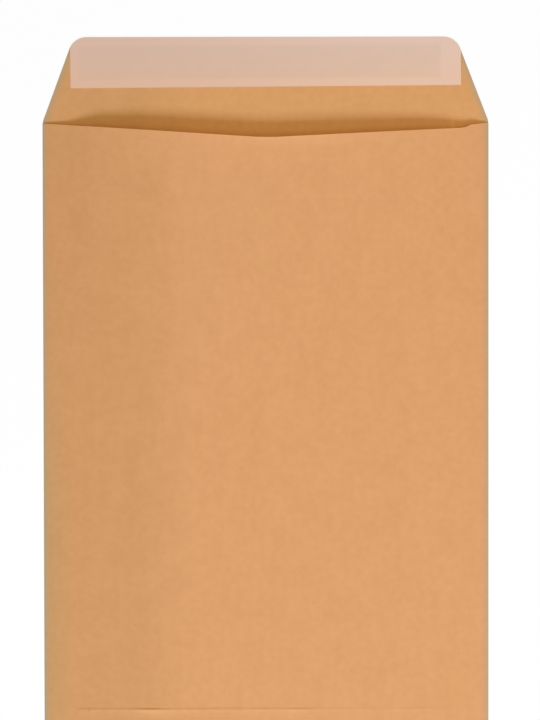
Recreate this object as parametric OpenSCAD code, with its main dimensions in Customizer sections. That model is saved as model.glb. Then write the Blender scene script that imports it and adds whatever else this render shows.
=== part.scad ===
// Pocket envelope folded from one sheet of kraft paper. It lies on its address panel with the
// closing flap open flat and the mouth a little open. Millimetres, +X across, +Y to the flap, +Z up.
// The origin is on the surface that it lies on, below the middle of the opened envelope.

/* [Pocket] */
// Width over the side folds
pocket_w = 229; // [150:0.5:300]
// Length from the bottom fold to the crease of the closing flap
pocket_l = 324; // [220:0.5:420]
// Thickness of the paper
paper_t = 0.15; // [0.1:0.01:0.25]
// Clear gap between address panel and back panel where the pocket lies closed
panel_gap = 0.3; // [0.28:0.01:0.6]
// Width of the hidden seam flap that the back panel is glued to
seam_w = 17; // [10:0.5:25]
// Distance of the back panel's free edge from the seam flap's fold
free_edge_in = 1; // [0.7:0.1:3]

/* [Mouth] */
// Rise of the back panel at the middle of the mouth
mouth_rise = 6.8; // [2:0.1:14]
// Fullness of the arch across the mouth, where 2 is a parabola and more is flatter on top
arch_power = 4; // [2:0.1:5]
// How fast the rise dies away down the pocket, where 1 is a straight taper
fade_power = 3; // [1.5:0.1:4]
// Drop of the lip below the crease at the middle of the throat
throat_drop = 9.1; // [5:0.1:20]
// Length over which the middle of the throat is rounded, to each side
throat_blend = 7; // [2:0.5:30]
// Drop of the lip at the side folds
corner_drop = 1.4; // [0.3:0.1:2]
// Distance of the lip's left shoulder from the left side
left_shoulder_in = 20; // [15:0.5:30]
// Drop of the lip at its left shoulder
left_shoulder_drop = 2.9; // [1:0.1:4.5]
// Distance of the lip's right shoulder from the right side
right_shoulder_in = 12.5; // [12:0.5:30]
// Drop of the lip at its right shoulder
right_shoulder_drop = 4.1; // [1:0.1:4.5]
// Distance of the top of the right shoulder from the right side
right_step_in = 9.5; // [5:0.5:11]
// Drop of the lip at the top of the right shoulder
right_step_drop = 2.5; // [0.5:0.1:3]

/* [Closing flap] */
// Depth from the crease to the flap's edge
flap_h = 42.8; // [32:0.1:80]
// Lean of the flap's sides inwards
flap_lean = 21.2; // [5:0.1:35]
// Radius of the flap's corners
flap_corner_r = 9.5; // [2:0.5:14]
// Width of the pressed crease
crease_w = 0.8; // [0.4:0.1:2]
// Depth of the pressed crease
crease_d = 0.04; // [0.02:0.01:0.07]

/* [Bottom flap] */
// Height of the flap above the bottom fold
bottom_flap_h = 20.9; // [12:0.1:40]
// Width of the flap's top edge between its virtual corners
bottom_flap_w = 192; // [90:1:205]
// Distance of the flap's ends from the pocket's sides at the fold
bottom_flap_in = 1; // [0.5:0.1:10]
// Radius of the flap's corners
bottom_corner_r = 4; // [1:0.5:10]
// Clearance between the back panel's bottom edge and the bottom fold
bottom_clear = 0.4; // [0.3:0.1:3]

/* [Closure strip] */
// Width of the release liner between its cut ends
liner_w = 200.5; // [100:0.5:220]
// Height of the release liner below the flap's edge
liner_h = 25.5; // [18:0.5:30]
// Thickness of the release liner
liner_t = 0.07; // [0.05:0.01:0.15]
// Turn of the strip from square, as it was laid on
strip_skew = 0.4; // [-1:0.1:1]
// Thickness of the adhesive band
adhesive_t = 0.08; // [0.04:0.01:0.2]
// Bare margin at the left end of the band
adhesive_left = 4.3; // [2:0.1:15]
// Bare margin at the right end of the band, where a finger lifts the liner
finger_lift = 10.8; // [2:0.1:30]
// Bare margin above the band
adhesive_top = 4.4; // [2:0.1:8]
// Bare margin below the band
adhesive_bottom = 4.3; // [1:0.1:8]

/* [Hidden] */

// Lengths along Y
bottom_y = -(pocket_l + flap_h) / 2;
crease_y = bottom_y + pocket_l;
edge_y = crease_y + flap_h;

// Heights of the layers where the pocket lies closed
under_z = paper_t + panel_gap;
outside_z = under_z + paper_t;

// Outer radii of the folds, each as wide as the layers that it holds
side_r = outside_z / 2;
seam_r = under_z / 2;
bottom_r = (outside_z + paper_t) / 2;

// Length above the bottom flap over which the pocket still lies closed
closed_above = 1;

// Where the flat panels end and the folds start
left_x = -pocket_w / 2 + side_r;
right_x = pocket_w / 2 - seam_r;
fold_y = bottom_y + bottom_r;
back_y = fold_y + bottom_clear;
closed_y = bottom_y + bottom_flap_h + closed_above;

// Seam flap's inner edge and back panel's free edge
seam_x = right_x - seam_w;
free_x = right_x - free_edge_in;

// How far a fold runs into the panel that it is part of
lap = 0.5;
// How far the opposite face is set off from a step in a face
step_in = 0.3;
// Steps round a fold, across the three stretches of the back panel, and along the pocket
fold_steps = 6;
shoulder_steps = 8;
panel_steps = 30;
seam_steps = 7;
pocket_rows = 16;
corner_steps = 12;
// Length of the stretch with close steps at the left side, just past the shoulder
shoulder_span = left_shoulder_in + 4;

kraft = [0.84, 0.63, 0.43];

// Drop of the lip, straight from point to point
lip_points = [
    [-pocket_w / 2, corner_drop],
    [-pocket_w / 2 + left_shoulder_in, left_shoulder_drop],
    [0, throat_drop],
    [pocket_w / 2 - right_shoulder_in, right_shoulder_drop],
    [pocket_w / 2 - right_step_in, right_step_drop],
    [pocket_w / 2, corner_drop]
];

// The lip's corners are rounded by a mean over a reach that shrinks towards the sides
function lip_drop(x) =
    let (reach = throat_blend * (1 - 2 * abs(x) / pocket_w))
    let (near = [for (k = [-1 : 0.5 : 1]) lookup(x + k * reach, lip_points)])
    (near[0] + near[1] + near[2] + near[3] + near[4]) / 5;

// Rise of the back panel above its closed place
function arch(x) =
    1 - pow(abs(2 * x - left_x - right_x) / (right_x - left_x), arch_power);
function fade(y) = pow(max(0, y - closed_y) / (crease_y - closed_y), fade_power);
function rise(x, y) = mouth_rise * arch(x) * fade(y);

// Rows run across the pocket: the back panel's bottom edge, then from the closed end to the lip
function row_y(x, row) =
    row == 0 ? back_y :
    closed_y + (row - 1) / pocket_rows * (crease_y - lip_drop(x) - closed_y);

// A point at height z over the back panel's underside
function on_panel(x, row, z) =
    let (y = row_y(x, row))
    [x, y, under_z + z + rise(x, y)];

// A pair holds the outer and the inner point of the sheet at one place of a section
function flat_pair(x, row) = [[x, row_y(x, row), 0], [x, row_y(x, row), paper_t]];
function panel_pair(x, row) = [on_panel(x, row, paper_t), on_panel(x, row, 0)];
function seam_pair(x, row) = [on_panel(x, row, paper_t), on_panel(x, row, -paper_t)];
function fold_pair(x, side, r, turn, row) = [
    for (radius = [r, r - paper_t])
        [x + side * radius * sin(turn), row_y(x, row), r - radius * cos(turn)]
];

function steps(from, to, count) = [for (i = [1 : count]) from + (to - from) * i / count];

// Section of the folded-over part at one row: up the left fold, over the back panel and its
// two-layer seam, and down the seam flap's fold
function section(row) = concat(
    [flat_pair(left_x + lap, row)],
    [for (k = [0 : fold_steps]) fold_pair(left_x, -1, side_r, 180 * k / fold_steps, row)],
    [for (x = steps(left_x, left_x + shoulder_span, shoulder_steps)) panel_pair(x, row)],
    [for (x = steps(left_x + shoulder_span, seam_x - step_in, panel_steps - 1)) panel_pair(x, row)],
    [[on_panel(seam_x + step_in, row, paper_t), on_panel(seam_x, row, 0)]],
    [for (x = steps(seam_x, free_x, seam_steps)) seam_pair(x, row)],
    [for (k = [0 : fold_steps])
        fold_pair(right_x, 1, seam_r, 180 - 180 * k / fold_steps, row)],
    [flat_pair(right_x - lap, row)]
);

// Closed skin round rows of pairs that all have the same count
module sheet_loft(rows) {
    across = len(rows[0]);
    last = len(rows) - 1;
    function outer(j, i) = (j * across + i) * 2;
    function inner(j, i) = outer(j, i) + 1;
    cells = [for (j = [0 : last - 1], i = [0 : across - 2]) [j, i]];
    faces = concat(
        [for (c = cells) [outer(c[0], c[1]), outer(c[0] + 1, c[1]), outer(c[0] + 1, c[1] + 1)]],
        [for (c = cells) [outer(c[0], c[1]), outer(c[0] + 1, c[1] + 1), outer(c[0], c[1] + 1)]],
        [for (c = cells) [inner(c[0], c[1]), inner(c[0] + 1, c[1] + 1), inner(c[0] + 1, c[1])]],
        [for (c = cells) [inner(c[0], c[1]), inner(c[0], c[1] + 1), inner(c[0] + 1, c[1] + 1)]],
        [for (i = [0 : across - 2]) [outer(0, i), outer(0, i + 1), inner(0, i + 1)]],
        [for (i = [0 : across - 2]) [outer(0, i), inner(0, i + 1), inner(0, i)]],
        [for (i = [0 : across - 2]) [outer(last, i), inner(last, i + 1), outer(last, i + 1)]],
        [for (i = [0 : across - 2]) [outer(last, i), inner(last, i), inner(last, i + 1)]],
        [for (j = [0 : last - 1]) [outer(j, 0), inner(j, 0), inner(j + 1, 0)]],
        [for (j = [0 : last - 1]) [outer(j, 0), inner(j + 1, 0), outer(j + 1, 0)]],
        [for (j = [0 : last - 1])
            [outer(j, across - 1), outer(j + 1, across - 1), inner(j + 1, across - 1)]],
        [for (j = [0 : last - 1])
            [outer(j, across - 1), inner(j + 1, across - 1), inner(j, across - 1)]]
    );
    polyhedron(points = [for (row = rows, pair = row, p = pair) p], faces = faces, convexity = 6);
}

// Back panel with the side folds and the seam flap
module back_panel() {
    sheet_loft([for (row = [0 : pocket_rows + 1]) section(row)]);
}

// One rounded upper corner of a flap whose side leans inwards from [base_x, base_y].
// side is 1 for the right corner and -1 for the left one.
function flap_corner(base_x, base_y, top_y, lean, r, side) =
    let (top_x = base_x - (top_y - base_y) * tan(lean))
    let (centre_x = top_x + r * (tan(lean) - 1 / cos(lean)))
    [for (k = [0 : corner_steps])
        let (turn = lean + (90 - lean) * k / corner_steps)
        [side * (centre_x + r * cos(turn)), top_y - r + r * sin(turn)]];

function reversed(list) = [for (i = [len(list) - 1 : -1 : 0]) list[i]];

module closing_flap_outline() {
    polygon(concat(
        [[left_x, crease_y], [right_x, crease_y]],
        flap_corner(right_x, crease_y, edge_y, flap_lean, flap_corner_r, 1),
        reversed(flap_corner(-left_x, crease_y, edge_y, flap_lean, flap_corner_r, -1))
    ));
}

// Address panel and closing flap, which lie in one plane with the crease pressed between them
module front_sheet() {
    difference() {
        linear_extrude(paper_t) {
            translate([left_x, fold_y]) square([right_x - left_x, crease_y - fold_y]);
            closing_flap_outline();
        }
        translate([left_x - lap, crease_y, paper_t])
            rotate([90, 0, 90])
                linear_extrude(right_x - left_x + 2 * lap)
                    polygon([[-crease_w / 2, 0], [0, -crease_d], [crease_w / 2, 0], [0, lap]]);
    }
}

// Half-round bottom fold, with a short flat stretch into each panel
module bottom_fold() {
    width = pocket_w - 2 * bottom_flap_in;
    translate([-width / 2, fold_y, bottom_r])
        rotate([90, 0, 90])
            linear_extrude(width) {
                difference() {
                    circle(bottom_r, $fn = 48);
                    circle(bottom_r - paper_t, $fn = 48);
                    translate([0, -bottom_r]) square(2 * bottom_r);
                }
                translate([0, -bottom_r]) square([lap, paper_t]);
                translate([0, bottom_r - paper_t]) square([lap, paper_t]);
            }
}

// Flap folded up from the address panel and glued over the outside of the back panel
module bottom_flap() {
    base_x = pocket_w / 2 - bottom_flap_in;
    base_y = fold_y + lap;
    top_y = bottom_y + bottom_flap_h;
    lean = atan((base_x - bottom_flap_w / 2) / (top_y - base_y));
    translate([0, 0, outside_z])
        linear_extrude(paper_t)
            polygon(concat(
                [[-base_x, base_y], [-base_x, fold_y], [base_x, fold_y], [base_x, base_y]],
                flap_corner(base_x, base_y, top_y, lean, bottom_corner_r, 1),
                reversed(flap_corner(base_x, base_y, top_y, lean, bottom_corner_r, -1))
            ));
}

module folded_sheet() {
    color(kraft) union() {
        front_sheet();
        back_panel();
        bottom_fold();
        bottom_flap();
    }
}

// Places the strip's layers: the origin is the middle of the flap's edge
module strip_frame() {
    translate([(left_x + right_x) / 2, edge_y]) rotate(strip_skew) children();
}

module adhesive_band() {
    color([0.80, 0.70, 0.56])
        translate([0, 0, paper_t])
            linear_extrude(adhesive_t)
                strip_frame()
                    translate([adhesive_left - liner_w / 2, adhesive_bottom - liner_h])
                        square([
                            liner_w - adhesive_left - finger_lift,
                            liner_h - adhesive_bottom - adhesive_top
                        ]);
}

// The liner was cut together with the flap, so their edges lie flush at the top and corners
module release_liner() {
    color([0.95, 0.87, 0.82])
        translate([0, 0, paper_t + adhesive_t])
            linear_extrude(liner_t)
                intersection() {
                    closing_flap_outline();
                    strip_frame()
                        translate([-liner_w / 2, -liner_h]) square([liner_w, 2 * liner_h]);
                }
}

folded_sheet();
adhesive_band();
release_liner();
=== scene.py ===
"""Pocket envelope of kraft paper, lying open on its address panel, seen from above.

The folded sheet is cut from a flat blank, folded and thickened. The release liner lies on the
adhesive band on the inside of the closing flap. All lengths are in metres.
"""

import logging
import math
from dataclasses import dataclass

import bmesh
import bpy
from mathutils import Matrix, Vector, noise


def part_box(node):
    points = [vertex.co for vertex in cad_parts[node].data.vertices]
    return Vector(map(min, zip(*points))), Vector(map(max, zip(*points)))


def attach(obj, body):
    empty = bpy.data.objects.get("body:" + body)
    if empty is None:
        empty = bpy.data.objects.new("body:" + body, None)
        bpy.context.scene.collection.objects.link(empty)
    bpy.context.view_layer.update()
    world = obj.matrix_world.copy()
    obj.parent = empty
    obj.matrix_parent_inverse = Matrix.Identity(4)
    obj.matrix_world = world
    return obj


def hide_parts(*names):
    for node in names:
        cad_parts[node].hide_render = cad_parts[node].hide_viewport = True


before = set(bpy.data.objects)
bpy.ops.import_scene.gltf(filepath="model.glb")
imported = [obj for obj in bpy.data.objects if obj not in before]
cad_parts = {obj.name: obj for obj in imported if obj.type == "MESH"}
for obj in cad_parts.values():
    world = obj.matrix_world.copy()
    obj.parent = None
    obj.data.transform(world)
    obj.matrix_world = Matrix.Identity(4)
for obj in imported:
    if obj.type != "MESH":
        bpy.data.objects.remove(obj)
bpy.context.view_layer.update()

Colour = tuple[float, float, float]
Span = tuple[float, float]
Chain = tuple[tuple[float, float], ...]
# A point on a straight line across the blank, and the direction square to it that points outwards
CutLine = tuple[Vector, Vector]
Socket = bpy.types.NodeSocket
Sockets = bpy.types.bpy_prop_collection
Value = Socket | float | tuple[float, ...]
Inputs = dict[int | str, Value]

BODY = "root"
SHEET_NODE = "folded_sheet"
BAND_NODE = "adhesive_band"
LINER_NODE = "release_liner"
# Two lengths closer than this are the same place on the blank
SAME = 1e-6
# Edges that turn by more than this are sharp: the cut edges are, the steps round a fold aren't
SHARP_ANGLE = math.radians(40)
# Where the lip's drop is read to round its corners, as parts of the reach
LIP_BLEND = (-1.0, -0.5, 0.0, 0.5, 1.0)
# Cuts round a flap's corner, and rows of faces up the bottom flap's ridge and along a curled edge
CORNER_CUTS = 12
RIDGE_ROWS = 4
CURL_ROWS = 5
# Places across the envelope with the height of the ridge along the bottom flap's edge, where its
# glue holds it less well, and with the height that the glued panel bulges to at that edge
RIDGE: Chain = (
    (-0.100, 0.0), (-0.094, 0.00020), (-0.072, 0.00018), (-0.060, 0.00062), (-0.048, 0.00024),
    (-0.034, 0.00018), (-0.012, 0.00016), (-0.003, 0.00023), (0.006, 0.00014), (0.016, 0.00033),
    (0.027, 0.00008), (0.045, 0.00010), (0.060, 0.00006), (0.080, 0.00010), (0.095, 0.0),
)
BULGE: Chain = (
    (-0.098, 0.0), (-0.083, 0.00032), (-0.076, 0.00023), (-0.053, 0.00080), (-0.042, 0.00012),
    (-0.018, 0.00006), (-0.007, 0.00025), (0.001, 0.00012), (0.012, 0.00032), (0.022, 0.00010),
    (0.045, 0.00025), (0.065, 0.00018), (0.098, 0.0),
)
# The node groups that the finishes share
PAPER_WEB = "paper_web"
SOFT_RECTANGLE = "soft_rectangle"
# What the paper's make-up consists of: clouds of pulp, broader clouds, streaks along the web, fibres
# and specks, and the height of its face. Then the scales of its clouds, fibres and specks
PAPER_PARTS = ("Cloud", "Mottle", "Streak", "Fibre", "Speck", "Height")
PAPER_SCALES = {"Cloud Scale": 260.0, "Fibre Scale": 1900.0, "Speck Scale": 120.0}
# Scales of the mottle and the streaks beside the clouds, and of the fine grain beside the fibres
MOTTLE_SCALE = 0.26
STREAK_SCALE = 0.9
FINE_SCALE = 0.7
STREAK_LENGTH = 14.0
# Turn in degrees and length of each set of fibres
FIBRE_SETS = ((8, 11.0), (-33, 8.0), (52, 7.0), (97, 6.0))
# Shares of the fibres and the fine grain in the height of the paper's face
FIBRE_HEIGHT = 0.45
FINE_HEIGHT = 0.55
# Spans of the noises that are drawn out to the full range
CLOUD_SPAN: Span = (0.30, 0.72)
MOTTLE_SPAN: Span = (0.30, 0.70)
FIBRE_SPAN: Span = (0.60, 0.74)
SPECK_SPAN: Span = (0.02, 0.075)
SPECK_CHOICE: Span = (0.84, 0.94)
# Ripples of a soft rectangle's edges, in waves for each metre
EDGE_RIPPLES = 90.0
WHITE: Colour = (1.0, 1.0, 1.0)
# The cool key and the warm fill add up to white on a level surface
COOL: Colour = (0.90, 0.985, 1.10)
WARM: Colour = (1.136, 1.02, 0.864)

log = logging.getLogger("envelope")


def clamp(value: float) -> float:
    """Holds a value between 0 and 1."""
    return min(max(value, 0.0), 1.0)


def smooth_step(value: float) -> float:
    """Eases a value from 0 to 1, and holds it there outside that range."""
    t = clamp(value)
    return t * t * (3 - 2 * t)


def hump(x: float, middle: float, half: float) -> float:
    """A smooth hump, 1 at its middle and 0 from half its width on."""
    away = min(abs(x - middle) / half, 1.0)
    return (1 - away**2) ** 2


def curl(from_edge: float, run: float) -> float:
    """How far an edge is curled, from 1 at the edge to 0 at the end of its run."""
    return max(0.0, 1 - from_edge / run) ** 2


def ripple(x: float, y: float, scales: tuple[float, float, float]) -> float:
    """Smooth noise at a place, by its scales across and along and the level it is cut at."""
    return noise.noise(Vector((x * scales[0], y * scales[1], scales[2])))


def steps(start: float, end: float, count: int) -> list[float]:
    """Divides a length into even steps, and gives both its ends and what lies between."""
    return [start + (end - start) * k / count for k in range(count + 1)]


def interpolate(points: Chain, x: float) -> float:
    """Reads a chain of straight lines at one place.

    Args:
        points: The corners of the chain, as places in rising order with their values.
        x: The place to read.

    Returns:
        The value there, held level past both ends.
    """
    for (x0, y0), (x1, y1) in zip(points, points[1:]):
        if x <= x1:
            return y0 + (y1 - y0) * max(x - x0, 0.0) / (x1 - x0)
    return points[-1][1]


def new_object(name: str, data: bpy.types.ID) -> bpy.types.Object:
    """Makes an object and links it to the scene.

    Args:
        name: The object's name.
        data: Its mesh, lamp or camera.

    Returns:
        The new object, at the origin.
    """
    made = bpy.data.objects.new(name, data)
    bpy.context.scene.collection.objects.link(made)
    return made


def make_piece(name: str, mesh: bpy.types.Mesh, slot: str, *nodes: str) -> bpy.types.Object:
    """Puts a mesh into the scene as a piece that stands for CAD nodes.

    Args:
        name: The piece's name.
        mesh: Its mesh, already in place.
        slot: The record's material slot that its finish comes from. It is not used.
        nodes: The CAD nodes that it stands for.

    Returns:
        The new object, at the origin.
    """
    piece = new_object(name, mesh)
    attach(piece, BODY)
    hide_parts(*nodes)
    return piece


def new_grid(columns: int, rows: int, matrix: Matrix) -> bmesh.types.BMesh:
    """Makes a flat grid.

    Args:
        columns: How many columns of faces it has.
        rows: How many rows.
        matrix: What a square of one metre round the origin is moved and scaled by.

    Returns:
        The grid.
    """
    bm = bmesh.new()
    bmesh.ops.create_grid(bm, x_segments=columns, y_segments=rows, size=0.5, matrix=matrix)
    return bm


def to_mesh(
    bm: bmesh.types.BMesh, name: str, materials: list[bpy.types.Material]
) -> bpy.types.Mesh:
    """Turns a bmesh into a mesh.

    Args:
        bm: The bmesh. It is freed.
        name: The mesh's name.
        materials: The mesh's materials.

    Returns:
        The new mesh.
    """
    mesh = bpy.data.meshes.new(name)
    bm.to_mesh(mesh)
    bm.free()
    for material in materials:
        mesh.materials.append(material)
    return mesh


def thickened(
    bm: bmesh.types.BMesh, name: str, thickness: float, materials: list[bpy.types.Material]
) -> bpy.types.Mesh:
    """Gives a middle surface its thickness.

    Args:
        bm: The middle surface of the paper. It is freed.
        name: The mesh's name.
        thickness: Thickness of the paper.
        materials: One material for all faces, or those of the face that the surface's normals
            point to, of the face behind it and of the cut edges.

    Returns:
        A closed mesh with smooth faces and sharp cut edges.
    """
    for face in bm.faces:
        face.smooth = True
    surface = to_mesh(bm, name + "_surface", materials)
    holder = new_object(name + "_surface", surface)
    shell = holder.modifiers.new("thickness", "SOLIDIFY")
    shell.thickness = thickness
    shell.offset = 0.0
    shell.use_even_offset = True
    shell.material_offset = 1
    shell.material_offset_rim = 2
    depsgraph = bpy.context.evaluated_depsgraph_get()
    mesh = bpy.data.meshes.new_from_object(holder.evaluated_get(depsgraph))
    mesh.name = name
    mesh.set_sharp_from_angle(angle=SHARP_ANGLE)
    bpy.data.objects.remove(holder)
    bpy.data.meshes.remove(surface)
    return mesh


def faces_along(bm: bmesh.types.BMesh, low: float, high: float) -> list[bmesh.types.BMFace]:
    """Lists the faces of the flat blank whose middle lies between two places along it."""
    return [face for face in bm.faces if low < face.calc_center_median().y < high]


def trim(bm: bmesh.types.BMesh, faces: list[bmesh.types.BMFace], lines: list[CutLine]) -> None:
    """Cuts some faces along straight lines and drops what lies outside.

    Args:
        bm: The mesh that holds the faces.
        faces: The faces to cut.
        lines: The lines to cut along.
    """
    for point, outward in lines:
        # Keys of a dict keep their order, so the mesh is numbered alike each run
        verts = dict.fromkeys(vert for face in faces for vert in face.verts)
        edges = dict.fromkeys(edge for face in faces for edge in face.edges)
        plane = {"plane_co": point, "plane_no": outward, "clear_outer": True}
        geometry = [*verts, *edges, *faces]
        left = bmesh.ops.bisect_plane(bm, geom=geometry, dist=SAME, **plane)["geom"]
        faces = [part for part in left if isinstance(part, bmesh.types.BMFace) and part.is_valid]


def flap_lines(
    base_y: float, top_y: float, radius: float, sides: tuple[tuple[int, float, float], ...]
) -> list[CutLine]:
    """The cut lines of a flap: its leaning sides and the tangents of its round corners.

    Args:
        base_y: Where the flap's crease runs.
        top_y: Where its free edge runs, above or below the crease.
        radius: Radius of its corners.
        sides: For each side 1 for the right one or -1 for the left one, where it meets the crease,
            from the middle, and its lean inwards in radians.

    Returns:
        The lines.
    """
    up = 1 if top_y > base_y else -1
    lines = []
    for side, base_x, lean in sides:
        top_x = base_x - abs(top_y - base_y) * math.tan(lean)
        corner_x = top_x + radius * (math.tan(lean) - 1 / math.cos(lean))
        for k in range(CORNER_CUTS + 1):
            turn = lean + (math.pi / 2 - lean) * k / CORNER_CUTS
            outward = Vector((side * math.cos(turn), up * math.sin(turn), 0))
            centre = Vector((side * corner_x, top_y - up * radius, 0))
            lines.append((centre + outward * radius, outward))
    return lines


@dataclass
class FoldedSheet:
    """The kraft sheet: address and back panel, seam flap, bottom flap and closing flap."""

    left: float
    right: float
    bottom_y: float
    edge_y: float
    paper_t: float = 0.00015
    panel_gap: float = 0.0003
    flap_h: float = 0.0428
    # Leans of the closing flap's left and right side. The left one is steeper than the solid's
    flap_leans: Span = (math.radians(20.3), math.radians(21.2))
    flap_corner_r: float = 0.0095
    crease_w: float = 0.0008
    crease_d: float = 0.00003
    seam_w: float = 0.017
    free_edge_in: float = 0.001
    mouth_rise: float = 0.0068
    arch_power: float = 4.0
    fade_power: float = 3.0
    throat_blend: float = 0.007
    # The bottom flap reaches 0.9 mm further than the solid's, to where its edge is seen
    bottom_flap_h: float = 0.0218
    bottom_flap_w: float = 0.192
    bottom_flap_in: float = 0.001
    bottom_corner_r: float = 0.004
    bottom_clear: float = 0.0004
    closed_above: float = 0.0005
    # Forms finer than the solid's. Waves of the back panel: scales across and along, and a seed
    wave: float = 0.00022
    wave_margin: float = 0.03
    long_wave: tuple[float, float, float] = (13.0, 4.0, 0.7)
    short_wave: tuple[float, float, float] = (31.0, 17.0, 5.3)
    short_share: float = 0.25
    # What shows of the hidden seam, and the film of glue between two layers
    seam_relief: float = 0.00003
    seam_soft: float = 0.002
    glue_film: float = 0.00001
    film_run: float = 0.001
    # The bottom flap's edge: its ridge, the bulge round it, and how thin it is pressed
    ridge_in: float = 0.0013
    ridge_run: float = 0.0070
    ridge_power: float = 4.0
    bulge_run: float = 0.0080
    bulge_fade: float = 0.060
    thin_by: float = 0.000135
    thin_run: float = 0.0190
    # The lip's curl just right of its middle, and its swell along all its length
    lip_flare: float = 0.00050
    lip_flare_run: float = 0.0060
    lip_flare_x: float = 0.012
    lip_flare_half: float = 0.060
    lip_swell: float = 0.00055
    lip_swell_run: float = 0.020
    # At its far left the lip keeps only a part of its rise
    left_hold: float = 0.60
    left_hold_x: float = -0.105
    left_hold_run: float = 0.018
    sag: float = 0.00075
    sag_x: float = 0.036
    sag_half: float = 0.068
    columns: int = 180
    rows: int = 140
    fold_steps: int = 8

    def __post_init__(self) -> None:
        """Works out where the folds and edges lie."""
        self.under_z = self.paper_t + self.panel_gap
        self.outside_z = self.under_z + self.paper_t
        self.side_r = self.outside_z / 2
        self.seam_r = self.under_z / 2
        self.bottom_r = (self.outside_z + self.paper_t) / 2
        self.left_x = self.left + self.side_r
        self.right_x = self.right - self.seam_r
        self.crease_y = self.edge_y - self.flap_h
        self.fold_y = self.bottom_y + self.bottom_r
        self.base_x = self.right - self.bottom_flap_in
        self.closed_y = self.bottom_y + self.bottom_flap_h + self.closed_above
        self.seam_x = self.right_x - self.seam_w
        self.free_x = self.right_x - self.free_edge_in
        # Places on the blank: u runs across it and v along it
        self.back_u = self.left_x - math.pi * self.middle(self.side_r)
        self.free_u = self.back_u - (self.free_x - self.left_x)
        self.seam_u = self.right_x + math.pi * self.middle(self.seam_r)
        self.seam_end_u = self.seam_u + self.seam_w
        self.flap_v = self.fold_y - math.pi * self.middle(self.bottom_r)
        self.flap_end_v = self.flap_v - (self.bottom_y + self.bottom_flap_h - self.fold_y)
        # Places across the envelope with how far the lip lies below the crease there
        self.lip: Chain = (
            (self.left, 0.0014),
            (self.left + 0.020, 0.0029),
            (0.0, 0.0091),
            (self.right - 0.0125, 0.0041),
            (self.right - 0.0095, 0.0025),
            (self.right, 0.0014),
        )

    def middle(self, outer_radius: float) -> float:
        """Radius of a fold at the middle of the paper."""
        return outer_radius - self.paper_t / 2

    def crease_lines(self) -> list[CutLine]:
        """Lines across the blank where it is creased or curled, with close steps.

        Returns:
            The lines.
        """
        across = steps(self.left_x, self.back_u, self.fold_steps)
        across += steps(self.right_x, self.seam_u, self.fold_steps)
        half_crease = self.crease_w / 2
        ridge_v = self.flap_end_v + self.ridge_in
        along = steps(self.fold_y, self.flap_v, self.fold_steps)
        along += steps(self.crease_y - half_crease, self.crease_y + half_crease, 2)
        along += steps(self.flap_end_v, ridge_v, RIDGE_ROWS)[1:]
        along += [ridge_v + self.ridge_run * part**2 for part in steps(0.0, 1.0, CURL_ROWS)[1:]]
        along += steps(self.crease_y, self.crease_y - self.lip_flare_run, CURL_ROWS)[1:]
        lines = [(Vector((u, 0, 0)), Vector((1, 0, 0))) for u in across]
        return lines + [(Vector((0, v, 0)), Vector((0, 1, 0))) for v in (*along, self.closed_y)]

    def blank(self) -> bmesh.types.BMesh:
        """Cuts the flat blank.

        Returns:
            The blank as one flat mesh, with edges along every crease.
        """
        width = self.seam_end_u - self.free_u
        length = self.edge_y - self.flap_end_v
        middle = Vector((self.free_u + width / 2, self.flap_end_v + length / 2, 0))
        matrix = Matrix.Translation(middle) @ Matrix.Diagonal((width, length, 1, 1))
        bm = new_grid(self.columns, self.rows, matrix)
        for point, across in self.crease_lines():
            geometry = [*bm.verts, *bm.edges, *bm.faces]
            bmesh.ops.bisect_plane(bm, geom=geometry, dist=SAME, plane_co=point, plane_no=across)
        waste = []
        for face in bm.faces:
            u, v, _ = face.calc_center_median()
            if not (self.left_x < u < self.right_x or self.fold_y < v < self.crease_y):
                waste.append(face)
        bmesh.ops.delete(bm, geom=waste, context="FACES")
        # The bottom fold is as wide as the base of its flap
        fold_sides = [(Vector((self.base_x * k, 0, 0)), Vector((k, 0, 0))) for k in (1, -1)]
        trim(bm, faces_along(bm, self.crease_y, self.edge_y), self.closing_flap_lines())
        trim(bm, faces_along(bm, self.flap_v, self.fold_y), fold_sides)
        trim(bm, faces_along(bm, self.flap_end_v, self.flap_v), self.bottom_flap_lines())
        return bm

    def closing_flap_lines(self) -> list[CutLine]:
        """Cut lines of the closing flap, which the liner shares."""
        sides = ((1, self.right_x, self.flap_leans[1]), (-1, -self.left_x, self.flap_leans[0]))
        return flap_lines(self.crease_y, self.edge_y, self.flap_corner_r, sides)

    def bottom_flap_lines(self) -> list[CutLine]:
        """Cut lines of the bottom flap on the blank, where it points down.

        Returns:
            The lines.
        """
        lean = math.atan((self.base_x - self.bottom_flap_w / 2) / (self.flap_v - self.flap_end_v))
        sides = ((1, self.base_x, lean), (-1, self.base_x, lean))
        return flap_lines(self.flap_v, self.flap_end_v, self.bottom_corner_r, sides)

    def lip_drop(self, x: float) -> float:
        """How far the lip lies below the crease, with its corners rounded."""
        reach = self.throat_blend * (1 - abs(x) / self.right)
        return sum(interpolate(self.lip, x + reach * k) for k in LIP_BLEND) / len(LIP_BLEND)

    def opened(self, y: float) -> float:
        """How far up the open part of the pocket a place lies, from 0 to 1 at the crease."""
        return max(0.0, y - self.closed_y) / (self.crease_y - self.closed_y)

    def arch(self, x: float) -> float:
        """How high the mouth's arch stands, from 0 at the side folds to 1 in the middle."""
        from_middle = abs(2 * x - self.left_x - self.right_x) / (self.right_x - self.left_x)
        return 1 - min(from_middle, 1.0) ** self.arch_power

    def rise(self, x: float, y: float) -> float:
        """How far the back panel rises above its closed place, before its waves."""
        held = self.left_hold * (1 - smooth_step((x - self.left_hold_x) / self.left_hold_run))
        return self.mouth_rise * self.arch(x) * (1 - held) * self.opened(y) ** self.fade_power

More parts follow.
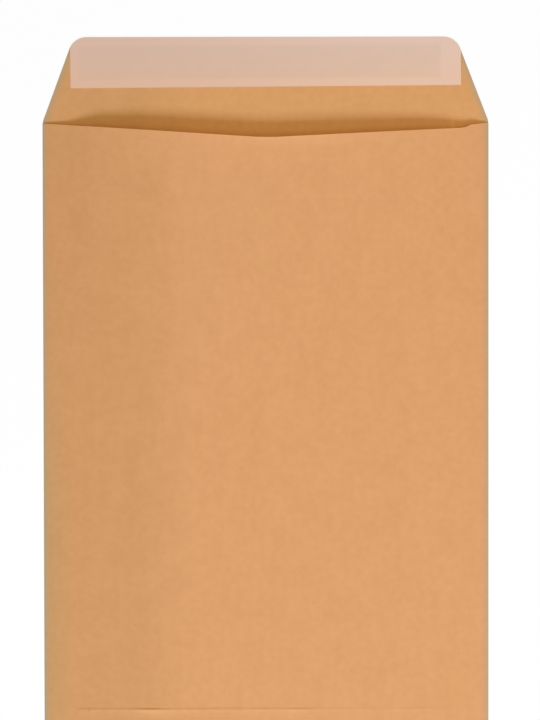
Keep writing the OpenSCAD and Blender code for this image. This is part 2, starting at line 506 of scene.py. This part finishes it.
    def flare(self, x: float, y: float) -> float:
        """How far the cut edge of the lip curls up, most of all just right of its middle.

        Args:
            x: Place across the envelope.
            y: Place along it.

        Returns:
            The height of the curl and of the swell behind it.
        """
        from_lip = self.crease_y - self.lip_drop(x) - y
        from_middle = min(abs(x) / self.right, 1.0)
        edge = self.lip_flare * curl(from_lip, self.lip_flare_run)
        swell = self.lip_swell * curl(from_lip, self.lip_swell_run)
        peak = hump(x, self.lip_flare_x, self.lip_flare_half)
        return edge * peak + swell * (1 - from_middle**4)

    def waves(self, x: float, y: float) -> float:
        """Slight waves of the back panel, which die away at its folds, and a sag of its lip.

        Args:
            x: Place across the envelope.
            y: Place along it.

        Returns:
            Their height.
        """
        inside = smooth_step((min(x - self.left_x, self.right_x - x)) / self.wave_margin)
        above = smooth_step((y - self.closed_y) / (2 * self.wave_margin))
        ripples = 1 + ripple(x, y, self.long_wave)
        ripples += self.short_share * ripple(x, y, self.short_wave)
        sag = self.sag * hump(x, self.sag_x, self.sag_half) * self.opened(y) ** self.fade_power
        return self.wave * inside * above * ripples - sag

    def bulge(self, x: float, y: float) -> float:
        """How far the glued panel bulges round the bottom flap's edge.

        Args:
            x: Place across the envelope.
            y: Place along it.

        Returns:
            The height of the bulge.
        """
        past = y - self.closed_y
        fade = clamp(past / self.bulge_run + 1) ** 2 * (1 - smooth_step(past / self.bulge_fade))
        return interpolate(BULGE, x) * fade

    def lip_row(self, x: float, v: float) -> float:
        """Where a row of the blank comes to lie on the back panel, which ends at the lip.

        Args:
            x: Place across the envelope.
            v: Place along the blank.

        Returns:
            The place along the envelope.
        """
        if v <= self.closed_y:
            part = (v - self.fold_y) / (self.closed_y - self.fold_y)
            start = self.fold_y + self.bottom_clear
            return start + part * (self.closed_y - start)
        lip_y = self.crease_y - self.lip_drop(x)
        return self.closed_y + self.opened(v) * (lip_y - self.closed_y)

    def on_bottom(self, u: float, v: float) -> Vector:
        """A place on the bottom fold or the bottom flap, which has a low ridge along its edge.

        Args:
            u: Place across the blank.
            v: Place along the blank.

        Returns:
            The place on the middle surface of the folded sheet.
        """
        middle = self.middle(self.bottom_r)
        if v >= self.flap_v - SAME:
            turn = (self.fold_y - v) / middle
            y = self.fold_y - middle * math.sin(turn)
            return Vector((u, y, self.bottom_r - middle * math.cos(turn)))
        from_edge = v - self.flap_end_v
        ridge = smooth_step(from_edge / self.ridge_in)
        ridge *= (1 - clamp((from_edge - self.ridge_in) / self.ridge_run)) ** self.ridge_power
        top = self.outside_z + self.paper_t / 2 + self.glue_film
        y = self.fold_y + self.flap_v - v
        return Vector((u, y, top + interpolate(RIDGE, u) * ridge + self.bulge(u, y)))

    def thin_edges(self, mesh: bpy.types.Mesh) -> None:
        """Presses the bottom flap's free edges thin, down onto the back panel.

        Args:
            mesh: The thickened sheet.
        """
        lines = self.bottom_flap_lines()
        # The flap's outer face lies one thickness above the panel's, so this is just under it
        almost = 0.9
        outer_z = self.outside_z + almost * self.paper_t
        edge_y = self.fold_y + self.flap_v - self.flap_end_v
        for vert in mesh.vertices:
            level = vert.co.z - self.bulge(vert.co.x, vert.co.y)
            if level < outer_z or not self.fold_y < vert.co.y < edge_y + self.paper_t:
                continue
            place = Vector((vert.co.x, self.fold_y + self.flap_v - vert.co.y, 0))
            inside = min((point - place).dot(outward) for point, outward in lines)
            vert.co.z -= self.thin_by * (1 - smooth_step(inside / self.thin_run))

    def folded(self, u: float, v: float) -> Vector:
        """Carries a place on the blank to its place on the folded sheet.

        Args:
            u: Place across the blank.
            v: Place along the blank.

        Returns:
            The place on the middle surface of the folded sheet.
        """
        if v < self.fold_y - SAME:
            return self.on_bottom(u, v)
        half = self.paper_t / 2
        if self.left_x - SAME <= u <= self.right_x + SAME:
            press = max(0.0, 1 - abs(v - self.crease_y) / (self.crease_w / 2))
            return Vector((u, v, half - self.crease_d * press))
        side_folds = ((self.left_x, -1, self.side_r), (self.right_x, 1, self.seam_r))
        for start_x, side, radius in side_folds:
            middle = self.middle(radius)
            turn = side * (u - start_x) / middle
            if 0 < turn < math.pi - SAME / middle:
                x = start_x + side * middle * math.sin(turn)
                return Vector((x, self.lip_row(x, v), radius - middle * math.cos(turn)))
        if u <= self.back_u + SAME:
            x = self.left_x + self.back_u - u
            level = self.under_z + half
            level += self.seam_relief * smooth_step(0.5 + (x - self.seam_x) / self.seam_soft)
        else:
            x = self.right_x + self.seam_u - u
            film = self.glue_film * smooth_step((u - self.seam_u) / self.film_run)
            level = self.under_z - half - film
        y = self.lip_row(x, v)
        level += self.rise(x, y) + self.flare(x, y) + self.waves(x, y) + self.bulge(x, y)
        return Vector((x, y, level))

    def build(self, materials: list[bpy.types.Material]) -> bpy.types.Object:
        """Cuts, folds and thickens the sheet.

        Args:
            materials: Those of the face inside the pocket and on the open flap, of the other face
                and of the cut edges.

        Returns:
            The finished piece.
        """
        bm = self.blank()
        for vert in bm.verts:
            vert.co = self.folded(vert.co.x, vert.co.y)
        mesh = thickened(bm, "kraft_sheet", self.paper_t, materials)
        self.thin_edges(mesh)
        return make_piece("kraft_sheet", mesh, "kraft_paper", SHEET_NODE)


@dataclass
class ReleaseLiner:
    """The peel-off paper strip on the closing flap, cut flush with the flap's edge."""

    sheet: FoldedSheet
    band_right: float
    lower_z: float
    upper_z: float
    width: float = 0.2005
    height: float = 0.0255
    skew: float = math.radians(0.4)
    # How far the strip reaches past the flap's edge before it is cut
    overhang: float = 0.003
    wave: float = 0.00002
    wave_scales: tuple[float, float, float] = (60.0, 90.0, 2.1)
    finger_lift: float = 0.00025
    columns: int = 120
    rows: int = 24

    def build(self, faces: bpy.types.Material) -> bpy.types.Object:
        """Cuts the strip along the flap's outline and lays it on the adhesive.

        Args:
            faces: Material of the liner.

        Returns:
            The finished piece.
        """
        length = self.height + self.overhang
        matrix = Matrix.Translation((0, self.sheet.edge_y, 0)) @ Matrix.Rotation(self.skew, 4, "Z")
        matrix = matrix @ Matrix.Translation((0, self.overhang - length / 2, 0))
        matrix = matrix @ Matrix.Diagonal((self.width, length, 1, 1))
        bm = new_grid(self.columns, self.rows, matrix)
        trim(bm, list(bm.faces), self.sheet.closing_flap_lines())
        # Its middle surface has slight waves, and a lift at its loose right end
        for vert in bm.verts:
            loose = max(0.0, vert.co.x - self.band_right) / (self.width / 2 - self.band_right)
            wave = self.wave * ripple(vert.co.x, vert.co.y, self.wave_scales)
            vert.co.z = (self.lower_z + self.upper_z) / 2 + (self.finger_lift * loose**2 + wave)
        mesh = thickened(bm, "liner_strip", self.upper_z - self.lower_z, [faces])
        return make_piece("liner_strip", mesh, "liner_paper", LINER_NODE)


def rgba(colour: Value) -> Value:
    """Adds the alpha that a colour socket wants, and leaves a socket as it is."""
    return colour if isinstance(colour, Socket) else (*colour, 1.0)


class NodeTree:
    """A shader node tree with short calls to add and join its nodes."""

    def __init__(self, tree: bpy.types.NodeTree) -> None:
        """Keeps the tree."""
        self.tree = tree

    def fill(self, node: bpy.types.Node, inputs: Inputs) -> Sockets:
        """Joins a node's inputs to outputs, or sets their values.

        Args:
            node: The node.
            inputs: What goes into its inputs, by their number or name.

        Returns:
            The node's outputs.
        """
        for key, value in inputs.items():
            if isinstance(value, Socket):
                self.tree.links.new(value, node.inputs[key])
            else:
                node.inputs[key].default_value = value
        return node.outputs

    def add(self, kind: str, inputs: Inputs, **settings: object) -> Sockets:
        """Adds a node.

        Args:
            kind: Its type, without the prefix of all shader nodes.
            inputs: What goes into its inputs, by their number or name.
            settings: Its options.

        Returns:
            Its outputs.
        """
        node = self.tree.nodes.new("ShaderNode" + kind)
        for name, value in settings.items():
            setattr(node, name, value)
        return self.fill(node, inputs)

    def math(self, operation: str, a: Value, b: Value = 0.0, clamped: bool = False) -> Socket:
        """Works out one value from two."""
        return self.add("Math", {0: a, 1: b}, operation=operation, use_clamp=clamped)[0]

    def times(self, a: Value, b: Value) -> Socket:
        """Multiplies two values."""
        return self.math("MULTIPLY", a, b)

    def ramp(self, value: Value, span: Span, to_low: float = 0.0, to_high: float = 1.0) -> Socket:
        """Maps a value smoothly from a span to another range, and holds it there past both ends."""
        ends = {"From Min": span[0], "From Max": span[1], "To Min": to_low, "To Max": to_high}
        return self.add("MapRange", {"Value": value, **ends}, interpolation_type="SMOOTHSTEP")[0]

    def noise(self, place: Socket, scale: Value, detail: float = 2.0) -> Socket:
        """Gives a smooth noise that lies mostly from 0.3 to 0.7."""
        inputs = {"Vector": place, "Scale": scale, "Detail": detail, "Roughness": 0.5}
        return self.add("TexNoise", inputs, noise_dimensions="3D")["Fac"]

    def mix(self, share: Value, a: Value, b: Value, blend: str = "MIX") -> Socket:
        """Mixes two colours, by the share of the second one."""
        # The node's sockets for values and for colours share their names, so these are numbers
        inputs = {0: share, 6: rgba(a), 7: rgba(b)}
        return self.add("Mix", inputs, data_type="RGBA", blend_type=blend, clamp_result=True)[2]

    def tinted(self, tone: Value, share: Value, tint: Colour, other: Colour = WHITE) -> Socket:
        """Multiplies a colour by a tint where the share is 1, and by the other where it is 0."""
        return self.mix(1.0, tone, self.mix(share, other, tint), blend="MULTIPLY")

    def split(self, place: Socket) -> Sockets:
        """Splits a place into its outputs X, Y and Z."""
        return self.add("SeparateXYZ", {"Vector": place})

    def mapped(self, place: Socket, **inputs: Value) -> Socket:
        """Gives the place on a texture that is moved, turned or stretched."""
        return self.add("Mapping", {"Vector": place, **inputs}, vector_type="TEXTURE")[0]

    def bump(self, height: Socket, strength: float, depth: float) -> Socket:
        """Gives the normal of a face with a fine relief."""
        inputs = {"Height": height, "Strength": strength, "Distance": depth}
        return self.add("Bump", inputs)["Normal"]

    def mix_shaders(self, share: Socket, a: Socket, b: Socket) -> Socket:
        """Mixes two shaders, by the share of the second one."""
        return self.add("MixShader", {0: share, 1: a, 2: b})[0]

    def show(self, kind: str, surface: Socket) -> None:
        """Ends the tree of a Material or a World in its output."""
        self.add("Output" + kind, {"Surface": surface})

    def seen_directly(self) -> Socket:
        """Tells what the camera sees, also in a mirror or through glass.

        Returns:
            A factor of 1 for such rays and 0 for the others.
        """
        path = self.add("LightPath", {})
        seen = self.math("MAXIMUM", path["Is Camera Ray"], path["Is Glossy Ray"])
        return self.math("MAXIMUM", seen, path["Is Transmission Ray"])


def empty_tree(owner: bpy.types.ID) -> NodeTree:
    """Gives a material or a world an empty node tree.

    Args:
        owner: The material or the world.

    Returns:
        Its tree for short calls.
    """
    owner.use_nodes = True
    owner.node_tree.nodes.clear()
    return NodeTree(owner.node_tree)


def new_group(
    name: str, inputs: dict[str, float], outputs: tuple[str, ...]
) -> tuple[NodeTree, Sockets, bpy.types.Node]:
    """Starts a shader node group that turns a place into plain values.

    Args:
        name: The group's name.
        inputs: Name and first value of each input besides Vector.
        outputs: The outputs' names.

    Returns:
        The group's tree for short calls, what it is given, and its output node.
    """
    group = bpy.data.node_groups.new(name, "ShaderNodeTree")
    group.interface.new_socket("Vector", in_out="INPUT", socket_type="NodeSocketVector")
    for label, value in inputs.items():
        socket = group.interface.new_socket(label, in_out="INPUT", socket_type="NodeSocketFloat")
        socket.default_value = value
    for label in outputs:
        group.interface.new_socket(label, in_out="OUTPUT", socket_type="NodeSocketFloat")
    given = group.nodes.new("NodeGroupInput").outputs
    return NodeTree(group), given, group.nodes.new("NodeGroupOutput")


def make_paper_web() -> None:
    """Makes the node group of a paper's make-up, whose outputs all run from 0 to 1."""
    tree, given, result = new_group(PAPER_WEB, PAPER_SCALES, PAPER_PARTS)
    place, cloud_scale, fibre_scale, speck_scale = list(given)[:4]
    cloud = tree.noise(place, cloud_scale, detail=3.0)
    mottle = tree.noise(place, tree.times(cloud_scale, MOTTLE_SCALE))
    drawn_out = tree.mapped(place, Scale=(1.0, STREAK_LENGTH, 1.0))
    streak = tree.noise(drawn_out, tree.times(cloud_scale, STREAK_SCALE))
    fibre = None
    for angle, length in FIBRE_SETS:
        turned = tree.mapped(place, Rotation=(0, 0, math.radians(angle)), Scale=(1, length, 1))
        stroke = tree.ramp(tree.noise(turned, fibre_scale, detail=1.0), FIBRE_SPAN)
        fibre = stroke if fibre is None else tree.math("MAXIMUM", fibre, stroke)
    cells = tree.add("TexVoronoi", {"Vector": place, "Scale": speck_scale}, feature="F1")
    near = tree.ramp(cells["Distance"], SPECK_SPAN, 1.0, 0.0)
    chosen = tree.add("SeparateColor", {"Color": cells["Color"]})[0]
    speck = tree.times(near, tree.ramp(chosen, SPECK_CHOICE))
    fine = tree.noise(place, tree.times(fibre_scale, FINE_SCALE), detail=3.0)
    height = tree.math("ADD", tree.times(fibre, FIBRE_HEIGHT), tree.times(fine, FINE_HEIGHT))
    tree.fill(result, dict(zip(PAPER_PARTS, (cloud, mottle, streak, fibre, speck, height))))


def make_soft_rectangle() -> None:
    """Makes the node group of a rectangle with soft, slightly uneven edges. Mask is 1 inside."""
    sizes = {"Half Width": 0.01, "Half Height": 0.01, "Softness": 0.001, "Unevenness": 0.001}
    tree, given, result = new_group(SOFT_RECTANGLE, sizes, ("Mask",))
    ripples = tree.math("SUBTRACT", tree.noise(given["Vector"], EDGE_RIPPLES, detail=3.0), 0.5)
    ripples = tree.times(ripples, given["Unevenness"])
    split = tree.split(given["Vector"])
    mask = None
    for axis, half in (("X", "Half Width"), ("Y", "Half Height")):
        away = tree.math("ABSOLUTE", split[axis])
        inside = tree.math("ADD", tree.math("SUBTRACT", given[half], away), ripples)
        part = tree.math("DIVIDE", inside, given["Softness"])
        part = tree.math("ADD", part, 0.5, clamped=True)
        mask = part if mask is None else tree.times(mask, part)
    tree.fill(result, {"Mask": mask})


@dataclass(frozen=True)
class Canvas:
    """A material in the making: its tree, the object's coordinates and the paper's make-up."""

    material: bpy.types.Material
    tree: NodeTree
    place: Socket
    web: Sockets

    def finish(self, surface: Socket) -> bpy.types.Material:
        """Ends the tree in its output and gives the material."""
        self.tree.show("Material", surface)
        return self.material


def start_material(name: str, **scales: float) -> Canvas:
    """Starts a material on a paper's make-up.

    Args:
        name: The material's name.
        scales: The scales of the make-up that differ from PAPER_SCALES.

    Returns:
        The material in the making.
    """
    material = bpy.data.materials.new(name)
    tree = empty_tree(material)
    place = tree.add("TexCoord", {})["Object"]
    inputs = {key.replace("_", " "): value for key, value in scales.items()}
    group = bpy.data.node_groups[PAPER_WEB]
    web = tree.add("Group", {"Vector": place, **inputs}, node_tree=group)
    return Canvas(material, tree, place, web)


@dataclass(frozen=True)
class KraftFinish:
    """Brown kraft paper: pulp clouds, streaks along the web, fibres and a few dark specks."""

    name: str
    middle: Colour
    pale: Colour
    dark: Colour
    speck: Colour = (0.330, 0.150, 0.060)
    # How much of the middle colour evens out the clouds, and how much the other parts show
    evenness: float = 0.74
    mottle_share: float = 0.13
    streak_share: float = 0.13
    fibre_share: float = 0.14
    speck_share: float = 0.35
    # Share of the light that passes each face of the thin sheet into a shadow behind it
    passed: Colour = (0.62, 0.53, 0.22)
    seam_x: float = 0.0973
    seam_soft: float = 0.002
    roughness: float = 0.82
    smoother: float = 0.08
    specular: float = 0.22
    bump: float = 0.10
    bump_depth: float = 0.00002
    # Painted shade makes a broad band along the left edge a little darker, and its edge wanders a
    # little
    left_shade_tint: Colour = (0.915, 0.925, 0.890)
    left_shade_fade: Span = (-0.068, -0.028)
    wander: float = 0.010
    # Low down on the left it is a little duller too
    dull_tint: Colour = (0.89, 1.0, 1.0)
    dull_fade_x: Span = (-0.114, -0.098)
    dull_fade_y: Span = (-0.08, 0.09)
    # Along the left and right side the paper is darker and greyer: painted shade of its rounded
    # folds, and the greyer wear of pressed paper. The sides lean inwards above lean_y
    side_shade_and_wear: Colour = (0.310, 0.345, 0.255)
    side_shade_and_wear_share: float = 0.40
    side_shade_and_wear_widths: Span = (0.0036, 0.0044)
    side_x: float = 0.1145
    lean_y: float = 0.0
    leans: Span = (0.0, 0.0)

    def material(self) -> bpy.types.Material:
        """Makes the material.

        Returns:
            The new material.
        """
        canvas = start_material(self.name)
        tree, web = canvas.tree, canvas.web
        tone = tree.mix(tree.ramp(web["Cloud"], CLOUD_SPAN), self.dark, self.pale)
        tone = tree.mix(self.evenness, tone, self.middle)
        mottle = tree.mix(tree.ramp(web["Mottle"], MOTTLE_SPAN), self.dark, self.pale)
        tone = tree.mix(self.mottle_share, tone, mottle)
        streak = tree.ramp(web["Streak"], CLOUD_SPAN, 0.0, self.streak_share)
        tone = tree.mix(streak, tone, self.pale)
        tone = tree.mix(tree.times(web["Fibre"], self.fibre_share), tone, self.dark)
        tone = tree.mix(tree.times(web["Speck"], self.speck_share), tone, self.speck)
        split = tree.split(canvas.place)
        across = tree.math("ADD", split["X"], tree.times(web["Mottle"], self.wander))
        # Painted shade over the broad band along the left edge
        tone = tree.tinted(tone, tree.ramp(across, self.left_shade_fade, 1.0, 0.0), self.left_shade_tint)
        leftmost = tree.ramp(split["X"], self.dull_fade_x, 1.0, 0.0)
        low = tree.ramp(split["Y"], self.dull_fade_y, 1.0, 0.0)
        tone = tree.tinted(tone, tree.times(leftmost, low), self.dull_tint)
        # Painted shade and wear along the sides
        tone = tree.mix(self.shaded_and_worn_sides(tree, split), tone, self.side_shade_and_wear)
        rough = self.roughness
        inputs = {
            "Base Color": tone,
            "Roughness": tree.ramp(web["Height"], (0.0, 1.0), rough - self.smoother, rough),
            "Normal": tree.bump(web["Height"], self.bump, self.bump_depth),
            "Specular IOR Level": self.specular,
        }
        shader = tree.add("BsdfPrincipled", inputs)[0]
        return canvas.finish(self.let_light_through(tree, shader, split["X"]))

    def shaded_and_worn_sides(self, tree: NodeTree, split: Sockets) -> Socket:
        """How much painted shade and wear darken the paper, from 0 inside to the full share at its
        sides.

        Args:
            tree: The material's tree.
            split: The place on the paper, split into X, Y and Z.

        Returns:
            The share of the rubbed colour.
        """
        above = tree.math("MAXIMUM", tree.math("SUBTRACT", split["Y"], self.lean_y), 0.0)
        shares = []
        for side, lean, width in zip((-1.0, 1.0), self.leans, self.side_shade_and_wear_widths):
            leaned = tree.times(above, math.tan(lean))
            out = tree.math("ADD", tree.times(split["X"], side), leaned)
            shares.append(tree.ramp(out, (self.side_x - width, self.side_x), 0.0, self.side_shade_and_wear_share))
        return tree.math("MAXIMUM", *shares)

    def let_light_through(self, tree: NodeTree, shader: Socket, across: Socket) -> Socket:
        """Lets warm light fall through the sheet into its own shadow.

        Args:
            tree: The material's tree.
            shader: Its Principled BSDF.
            across: The place across the envelope. Past seam_x two layers pass as much as one.

        Returns:
            The surface of the material.
        """
        at_seam = tuple(math.sqrt(part) for part in self.passed)
        seam = tree.ramp(across, (self.seam_x - self.seam_soft, self.seam_x))
        clear = tree.add("BsdfTransparent", {"Color": tree.mix(seam, self.passed, at_seam)})[0]
        return tree.mix_shaders(tree.add("LightPath", {})["Is Shadow Ray"], shader, clear)


@dataclass(frozen=True)
class LinerFinish:
    """Siliconed release paper, so thin that the adhesive band shows through it as a darker zone."""

    name: str
    # From left to right the paper turns lighter: painted shade darkens its left end, and its loose
    # right end is paler. The band under it follows the same way
    stuck_and_shaded: Colour
    loose: Colour
    band_left: Colour
    band_right: Colour
    band_middle: Span
    band_half: Span
    skew: float
    # How soft and uneven the band's edges look, and how weakly it shows where it is less wetted
    softness: float = 0.0022
    unevenness: float = 0.002
    least_wetted: float = 0.72
    # The paper is a little pinker at the top and yellower at the bottom
    upper_tint: Colour = (0.96, 1.0, 1.0)
    lower_tint: Colour = (1.0, 0.97, 0.88)
    fade_x: Span = (-0.11, 0.11)
    fade_y: Span = (-0.011, 0.011)
    cloud_scale: float = 110.0
    fibre_scale: float = 1500.0
    rough_span: Span = (0.2, 0.8)
    roughness: float = 0.48
    rougher: float = 0.1
    specular: float = 0.35
    bump: float = 0.05
    bump_depth: float = 0.00001

    def material(self) -> bpy.types.Material:
        """Makes the material.

        Returns:
            The new material.
        """
        scales = {"Cloud_Scale": self.cloud_scale, "Fibre_Scale": self.fibre_scale}
        canvas = start_material(self.name, **scales)
        tree, web = canvas.tree, canvas.web
        centred = tree.mapped(
            canvas.place, Location=(*self.band_middle, 0), Rotation=(0, 0, self.skew)
        )
        inputs = {
            "Vector": centred,
            "Half Width": self.band_half[0],
            "Half Height": self.band_half[1],
            "Softness": self.softness,
            "Unevenness": self.unevenness,
        }
        zone = tree.add("Group", inputs, node_tree=bpy.data.node_groups[SOFT_RECTANGLE])
        wetted = tree.ramp(web["Cloud"], MOTTLE_SPAN, self.least_wetted, 1.0)
        shown = tree.times(zone["Mask"], wetted)
        split = tree.split(centred)
        rightward = tree.ramp(split["X"], self.fade_x)
        # Painted shade at the left, paler where the liner comes loose at the right
        tone = tree.mix(rightward, self.stuck_and_shaded, self.loose)
        tone = tree.mix(shown, tone, tree.mix(rightward, self.band_left, self.band_right))
        upward = tree.ramp(split["Y"], self.fade_y)
        tone = tree.tinted(tone, upward, self.upper_tint, self.lower_tint)
        rough = self.roughness
        inputs = {
            "Base Color": tone,
            "Roughness": tree.ramp(web["Cloud"], self.rough_span, rough, rough + self.rougher),
            "Normal": tree.bump(web["Height"], self.bump, self.bump_depth),
            "Specular IOR Level": self.specular,
        }
        return canvas.finish(tree.add("BsdfPrincipled", inputs)[0])


@dataclass(frozen=True)
class AdhesiveFinish:
    """Pressure-sensitive film on the kraft paper, which it darkens as water would."""

    name: str
    thick: Colour
    thin: Colour
    cloud_scale: float = 150.0
    roughness: float = 0.35
    bump: float = 0.3
    bump_depth: float = 0.00005

    def material(self) -> bpy.types.Material:
        """Makes the material.

        Returns:
            The new material.
        """
        canvas = start_material(self.name, Cloud_Scale=self.cloud_scale)
        tree, cloud = canvas.tree, canvas.web["Cloud"]
        inputs = {
            "Base Color": tree.mix(tree.ramp(cloud, MOTTLE_SPAN), self.thin, self.thick),
            "Roughness": self.roughness,
            "Normal": tree.bump(cloud, self.bump, self.bump_depth),
        }
        return canvas.finish(tree.add("BsdfPrincipled", inputs)[0])


@dataclass(frozen=True)
class Lamp:
    """A round soft lamp that points at the envelope.

    Its side and height are angles in degrees, from the bottom edge round to the right and up from
    the floor. Its level is what it adds to the brightness of white paper that lies level.
    """

    name: str
    side: float
    height: float
    distance: float
    size: float
    level: float
    tint: Colour

    def hang(self) -> None:
        """Puts the lamp into the scene."""
        side, height = math.radians(self.side), math.radians(self.height)
        flat = math.cos(height)
        towards = Vector((flat * math.sin(side), -flat * math.cos(side), math.sin(height)))
        data = bpy.data.lights.new(self.name, "AREA")
        data.shape = "DISK"
        data.size = self.size
        data.color = self.tint
        data.energy = self.level * (math.pi * self.distance) ** 2 / math.sin(height)
        lamp = new_object(self.name, data)
        lamp.location = towards * self.distance
        lamp.rotation_mode = "QUATERNION"
        lamp.rotation_quaternion = towards.to_track_quat("Z", "Y")


@dataclass
class Studio:
    """The floor, the lamps, the world and the camera."""

    floor_z: float = -0.0002
    floor_size: float = 12.0
    # Brightness of the floor's paint, and the share of plain white that the camera sees instead
    floor_paint: float = 0.96
    floor_glow: float = 0.90
    key: Lamp = Lamp("key", side=4, height=38, distance=4.2, size=1.5, level=0.59, tint=COOL)
    side: Lamp = Lamp("side", side=76, height=65, distance=0.9, size=0.35, level=0.14, tint=WARM)
    sky_level: float = 0.29
    sky_tint: Colour = WARM
    camera_distance: float = 1.5
    # Focal length in millimetres, and the nearest and furthest distance that the camera sees
    lens: float = 100.0
    sight: Span = (0.01, 50.0)
    # Where the middle of the picture lies, and how much the picture spans
    look_x: float = 0.0021
    look_y: float = 0.0175
    span: float = 0.3705
    tilt: float = math.radians(1.4)
    roll: float = math.radians(-0.1)

    def floor(self) -> None:
        """Lays the white floor, which keeps a faint shadow."""
        material = bpy.data.materials.new("white_floor")
        tree = empty_tree(material)
        paint = tree.add("BsdfDiffuse", {"Color": rgba((self.floor_paint,) * 3)})[0]
        glow = tree.add("Emission", {"Color": rgba(WHITE), "Strength": 1.0})[0]
        share = tree.times(tree.seen_directly(), self.floor_glow)
        tree.show("Material", tree.mix_shaders(share, paint, glow))
        size = Matrix.Diagonal((self.floor_size, self.floor_size, 1, 1))
        bm = new_grid(1, 1, Matrix.Translation((0, 0, self.floor_z)) @ size)
        new_object("floor", to_mesh(bm, "floor", [material]))

    def world(self) -> None:
        """Sets an even white surround that lights softly and is white to the camera."""
        world = bpy.data.worlds.new("surround")
        tree = empty_tree(world)
        inputs = {"Color": rgba(self.sky_tint), "Strength": self.sky_level}
        sky = tree.add("Background", inputs)[0]
        backdrop = tree.add("Background", {"Color": rgba(WHITE), "Strength": 1.0})[0]
        tree.show("World", tree.mix_shaders(tree.seen_directly(), sky, backdrop))
        bpy.context.scene.world = world

    def camera(self) -> None:
        """Hangs the camera over the envelope, tilted a little so that its top is nearer."""
        data = bpy.data.cameras.new("camera")
        data.lens = self.lens
        data.sensor_fit = "AUTO"
        data.sensor_width = data.lens * self.span / self.camera_distance
        data.clip_start, data.clip_end = self.sight
        camera = new_object("camera", data)
        turn = Matrix.Rotation(self.roll, 4, "Z") @ Matrix.Rotation(-self.tilt, 4, "X")
        look = Vector((self.look_x, self.look_y, 0.0))
        back = turn @ Vector((0, 0, self.camera_distance))
        camera.matrix_world = Matrix.Translation(look + back) @ turn
        bpy.context.scene.camera = camera

    def build(self) -> None:
        """Sets up everything that isn't part of the envelope."""
        bpy.context.scene.view_settings.view_transform = "Standard"
        self.floor()
        self.world()
        self.key.hang()
        self.side.hang()
        self.camera()


def dress_adhesive() -> None:
    """Gives the CAD node of the adhesive band its finish."""
    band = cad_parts[BAND_NODE]
    finish = AdhesiveFinish("adhesive_film", thick=(0.40, 0.26, 0.12), thin=(0.46, 0.30, 0.15))
    material = finish.material()
    for slot in band.material_slots:
        slot.material = material
    report(band)


def report(piece: bpy.types.Object) -> None:
    """Logs a piece's name and how many faces it has."""
    log.info("%s: %d faces", piece.name, len(piece.data.polygons))


def build_sheet() -> FoldedSheet:
    """Builds the folded sheet in its three finishes.

    Returns:
        The sheet, whose flap the liner lies on.
    """
    low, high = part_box(SHEET_NODE)
    sheet = FoldedSheet(left=low[0], right=high[0], bottom_y=low[1], edge_y=high[1])
    outer = KraftFinish(
        "kraft_outer_face",
        middle=(0.695, 0.337, 0.139),
        pale=(0.745, 0.376, 0.164),
        dark=(0.625, 0.293, 0.114),
    )
    inner = KraftFinish(
        "kraft_inner_face",
        middle=(0.709, 0.351, 0.131),
        pale=(0.760, 0.392, 0.153),
        dark=(0.637, 0.305, 0.106),
        roughness=0.88,
        bump=0.14,
        # Painted shade along the left edge of this face
        left_shade_tint=(0.915, 0.935, 0.950),
        lean_y=sheet.crease_y,
        leans=sheet.flap_leans,
        # Painted shade and wear along the sides, wider on this face
        side_shade_and_wear_share=0.45,
        side_shade_and_wear_widths=(0.0050, 0.0050),
    )
    cut_edge = KraftFinish(
        "kraft_cut_edge",
        middle=(0.700, 0.400, 0.200),
        pale=(0.760, 0.450, 0.240),
        dark=(0.620, 0.330, 0.150),
        speck=(0.500, 0.260, 0.120),
        roughness=0.92,
    )
    report(sheet.build([finish.material() for finish in (inner, outer, cut_edge)]))
    return sheet


def build_liner(sheet: FoldedSheet) -> None:
    """Builds the release liner over the adhesive band.

    Args:
        sheet: The folded sheet that it lies on.
    """
    band_low, band_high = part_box(BAND_NODE)
    low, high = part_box(LINER_NODE)
    liner = ReleaseLiner(sheet, band_right=band_high[0], lower_z=low[2], upper_z=high[2])
    # The band is askew with the liner, so its own height is less than its box's
    band_half_height = 0.0084
    finish = LinerFinish(
        "silicone_paper",
        stuck_and_shaded=(0.748, 0.489, 0.381),
        loose=(0.806, 0.551, 0.445),
        band_left=(0.700, 0.475, 0.367),
        band_right=(0.743, 0.513, 0.405),
        band_middle=((band_low[0] + band_high[0]) / 2, (band_low[1] + band_high[1]) / 2),
        band_half=((band_high[0] - band_low[0]) / 2, band_half_height),
        skew=liner.skew,
    )
    report(liner.build(finish.material()))


def main() -> None:
    """Builds the envelope and the studio."""
    logging.basicConfig(level=logging.INFO, format="%(name)s: %(message)s")
    make_paper_web()
    make_soft_rectangle()
    build_liner(build_sheet())
    dress_adhesive()
    Studio().build()


if __name__ == "__main__":
    main()
